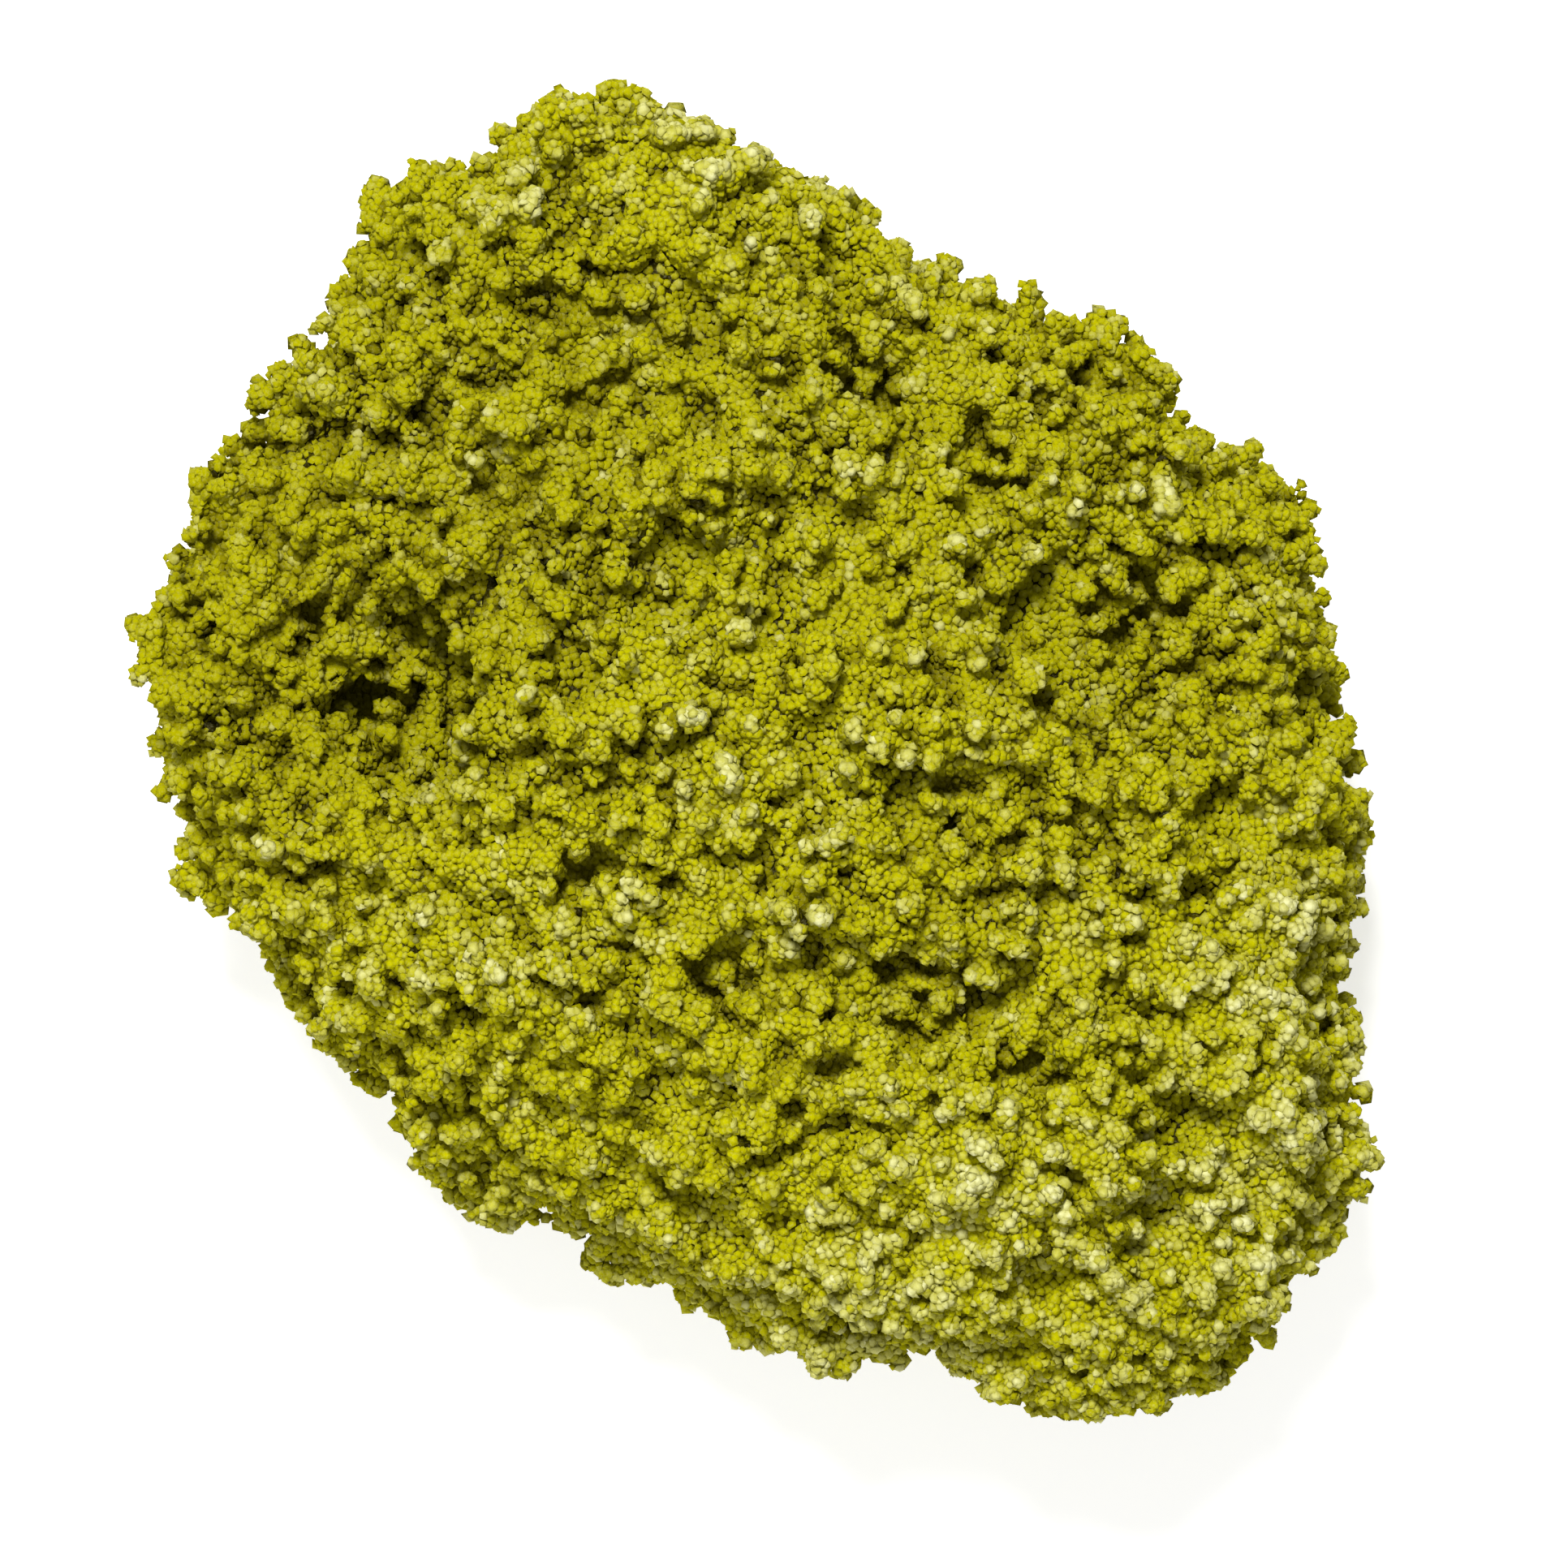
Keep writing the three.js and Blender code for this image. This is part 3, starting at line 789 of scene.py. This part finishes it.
def makeGrains():
    rng = np.random.default_rng(grains["seed"])
    spots, normals = scatter(crust.data, grains["spots"], rng)
    pick = spots[:, 2] > grains["lowest"]
    spots, normals = spots[pick], normals[pick]
    spacing = rng.uniform(*grains["spacing"], len(spots))
    spacing *= 1 + grains["widerBelow"] * smoothStep(0.0, -0.6, normals[:, 2])
    kept = thin(spots, spacing, rng.permutation(len(spots)))
    spots, normals, spacing = spots[kept], normals[kept], spacing[kept]
    depth = depthUnder(spots)
    sky, free = openness(spots, normals)
    shown = (depth < grains["deepest"]) & ((sky > grains["hidden"]) | clearAbove(spots, normals))
    spots, normals, spacing = spots[shown], normals[shown], spacing[shown]
    depth, free = depth[shown], free[shown]
    rubbed = rubbing(spots, normals, depth)
    radius = spacing * grains["radius"] * rng.uniform(*grains["radiusSpread"], len(spots))
    standOut = mix(grains["standOut"], rubbed) + grains["scatter"] * rng.normal(size=len(spots))
    middles = spots + normals * (radius * standOut)[:, None]
    middles[:, 2] += np.clip(radius * grains["floorGap"] - middles[:, 2], 0, None)
    scales = radius[:, None] * rng.uniform(*grains["squash"], (len(spots), 3))
    scales[:, :2] *= (1 + grains["wider"] * rubbed)[:, None]
    scales[:, 2] *= mix(grains["flatten"], rubbed)
    lean = unit(normals + rng.normal(size=normals.shape) * grains["lean"])
    frames = framesAlong(lean, scales, rng.uniform(0, 2 * math.pi, len(spots)))
    tone = rng.uniform(0, 1, len(spots))
    looks = lookOf(middles, rubbed, free, tone)
    order = np.argsort(np.arctan2(middles[:, 1], middles[:, 0]))
    template = unitTemplate(grainForm)
    # each corner's height in its grain: the lower ones get painted shade, the top ones more of the pale
    crown = np.clip(template[0][:, 2], 0, 1)
    parts = []
    for number, share in enumerate(np.array_split(order, grains["parts"])):
        piece = joinCopies(f"grains_{number + 1}", template, frames[share], middles[share])
        corners = rng.normal(size=(len(piece.data.vertices), 3))
        stray = corners * np.repeat(radius[share], len(crown))[:, None]
        points = pointsOf(piece.data) + stray * grains["uneven"]
        points[:, 2] = np.maximum(points[:, 2], 0)   # none goes through the floor
        setPoints(piece.data, points)
        own = {name: np.repeat(values[share], len(crown)) for name, values in looks.items()}
        writeLooks(piece.data, {**own, "crown": np.tile(crown, len(share))})
        piece.data.shade_smooth()
        roundOff(piece.data, template, frames[share])
        parts.append(piece)
    triangles = len(spots) * len(template[1])
    print("grains:", len(spots), "in", len(parts), "pieces,", triangles, "triangles")
    return parts


# the crust under the grains, which shows between them; it gets painted shade, more the deeper it lies
# under the solid, and the shade of a grain's lower edge
underGrains = {"darkAt": 4 * mm, "crown": 0.1, "tone": 0.5}


def finishCrust():
    points = pointsOf(crust.data)
    points -= normalsOf(crust.data) * grains["bury"]
    restOnFloor(points)
    setPoints(crust.data, points)
    depth = depthUnder(points)
    rubbed = rubbing(points, normalsOf(crust.data), depth)
    # painted shade: the deeper under the solid, the less free, so the darker
    free = np.clip(1 - depth / underGrains["darkAt"], 0, 1)
    looks = lookOf(points, rubbed, free, underGrains["tone"])
    writeLooks(crust.data, {**looks, "crown": np.full(len(points), underGrains["crown"])})
    crust.data.shade_smooth()


grainPieces = makeGrains()
finishCrust()
bpy.data.objects.remove(corePiece)


finish = {
    "crackShade": (0.02, 0.016, 0.0),          # painted shade, black in the deepest cracks
    "shade": (0.20, 0.18, 0.0),          # painted shade, down between the bunches
    "body": (0.475, 0.456, 0.0),
    "pale": (0.72, 0.71, 0.38),          # rubbed and dusty, with painted light on the open grain tops
    "creases": 0.6,                      # painted shade on a grain's lower part and between the grains
    # of the pale, the share on a grain's lower part; the rest is a painted highlight on its top
    "paleInCreases": 0.35,
    "gritSize": 0.2 * mm,
    "gritHeight": 0.11 * mm,
    "gritStrength": 0.8,
    "gritDetail": 2,
    "gritRoughness": 0.7,
    "gritTone": 0.5,
    "roughness": 0.95,
    "specular": 0.03,
}


def makeFinish():
    material = bpy.data.materials.new("nontronite")
    material.use_nodes = True
    tree = material.node_tree
    nodes, links = tree.nodes, tree.links
    shader = nodes["Principled BSDF"]
    shader.inputs["Roughness"].default_value = finish["roughness"]
    shader.inputs["Specular IOR Level"].default_value = finish["specular"]

    def connect(value, socket):
        if isinstance(value, tuple):
            socket.default_value = (*value, 1)
        elif isinstance(value, (int, float)):
            socket.default_value = value
        else:
            links.new(value, socket)

    def attribute(name):
        node = nodes.new("ShaderNodeAttribute")
        node.attribute_name = name
        return node.outputs["Fac"]

    def calculate(operation, a, b):
        node = nodes.new("ShaderNodeMath")
        node.operation = operation
        connect(a, node.inputs[0])
        connect(b, node.inputs[1])
        return node.outputs[0]

    def blend(share, a, b):
        node = nodes.new("ShaderNodeMix")
        node.data_type = "RGBA"
        connect(share, node.inputs[0])
        connect(a, node.inputs[6])     # the colours' sockets
        connect(b, node.inputs[7])
        return node.outputs[2]

    grain = nodes.new("ShaderNodeTexNoise")
    grain.inputs["Scale"].default_value = 1 / finish["gritSize"]
    grain.inputs["Detail"].default_value = finish["gritDetail"]
    grain.inputs["Roughness"].default_value = finish["gritRoughness"]
    links.new(nodes.new("ShaderNodeTexCoord").outputs["Object"], grain.inputs["Vector"])
    grit = grain.outputs["Fac"]

    dustAndLight, shade, deep, crown = (attribute(name) for name in ("dustAndLight", "shade", "deep", "crown"))
    # painted shade: the stronger of a grain's own lower part and the hidden places
    paintedCreaseShade = calculate("MULTIPLY", calculate("SUBTRACT", 1.0, crown), finish["creases"])
    colour = blend(calculate("MAXIMUM", shade, paintedCreaseShade), finish["body"], finish["shade"])
    # painted shade: the deepest cracks go black
    colour = blend(deep, colour, finish["crackShade"])
    # the pale gathers on the grains' tops: partly dusting, partly a painted highlight
    onTop = calculate("MULTIPLY", crown, 1 - finish["paleInCreases"])
    dustAndLight = calculate("MULTIPLY", dustAndLight, calculate("ADD", finish["paleInCreases"], onTop))
    speckle = calculate("MULTIPLY", calculate("SUBTRACT", grit, 0.5), finish["gritTone"])
    colour = blend(calculate("ADD", dustAndLight, speckle), colour, finish["pale"])
    links.new(colour, shader.inputs["Base Color"])

    bump = nodes.new("ShaderNodeBump")
    bump.inputs["Strength"].default_value = finish["gritStrength"]
    bump.inputs["Distance"].default_value = finish["gritHeight"]
    links.new(grit, bump.inputs["Height"])
    links.new(bump.outputs["Normal"], shader.inputs["Normal"])
    return material


nontronite = makeFinish()
for piece in [crust, *grainPieces]:
    piece.data.materials.clear()
    piece.data.materials.append(nontronite)
    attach(piece, "root")
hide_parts("nontronite_mass")
print("finish set")


stage = {
    "floorSize": 1.5,
    "floor": (0.7, 0.7, 0.695),
    "floorRoughness": 0.9,
    "floorGlow": 0.645,
    "world": (1.0, 1.0, 1.0),
    "worldStrength": 0.1,
    "lightsAim": (0, 0, 0.02),
    # name, place, size and power
    "lights": [
        ("key", (-0.08, 0.31, 0.77), 0.18, 7.9),
        ("top", (0.0, 0.0, 1.0), 0.8, 1.4),
        ("fill", (-0.2, -0.5, 0.5), 0.6, 1.9),
    ],
}

camera = {
    "height": 0.6,
    "aim": (2.09 * mm, -2.45 * mm),
    "focalPixels": 10618,
    "framePixels": 1932,
    "sensor": 36.0,
}


def makeFloor():
    form = bmesh.new()
    bmesh.ops.create_grid(form, x_segments=1, y_segments=1, size=stage["floorSize"])
    mesh = bpy.data.meshes.new("floor")
    form.to_mesh(mesh)
    form.free()
    material = bpy.data.materials.new("floor")
    material.use_nodes = True
    shader = material.node_tree.nodes["Principled BSDF"]
    shader.inputs["Base Color"].default_value = (*stage["floor"], 1)
    shader.inputs["Roughness"].default_value = stage["floorRoughness"]
    shader.inputs["Emission Color"].default_value = (1, 1, 1, 1)
    shader.inputs["Emission Strength"].default_value = stage["floorGlow"]
    mesh.materials.append(material)
    floor = linkPiece("floor", mesh)


def makeLight(name, place, size, power):
    lamp = bpy.data.lights.new(name, "AREA")
    lamp.shape = "DISK"
    lamp.size = size
    lamp.energy = power
    light = linkPiece(name, lamp)
    light.location = place
    aim = Vector(stage["lightsAim"]) - Vector(place)
    light.rotation_euler = aim.to_track_quat("-Z", "Y").to_euler()


def makeWorld():
    world = bpy.data.worlds.new("room")
    world.use_nodes = True
    background = world.node_tree.nodes["Background"]
    background.inputs[0].default_value = (*stage["world"], 1)
    background.inputs[1].default_value = stage["worldStrength"]
    bpy.context.scene.world = world
    bpy.context.scene.view_settings.view_transform = "Standard"


def makeCamera():
    lens = bpy.data.cameras.new("camera")
    lens.sensor_width = camera["sensor"]
    lens.lens = camera["sensor"] * camera["focalPixels"] / camera["framePixels"]
    view = linkPiece("camera", lens)
    view.location = (*camera["aim"], camera["height"])
    bpy.context.scene.camera = view


makeFloor()
for light in stage["lights"]:
    makeLight(*light)
makeWorld()
makeCamera()
print("stage set")
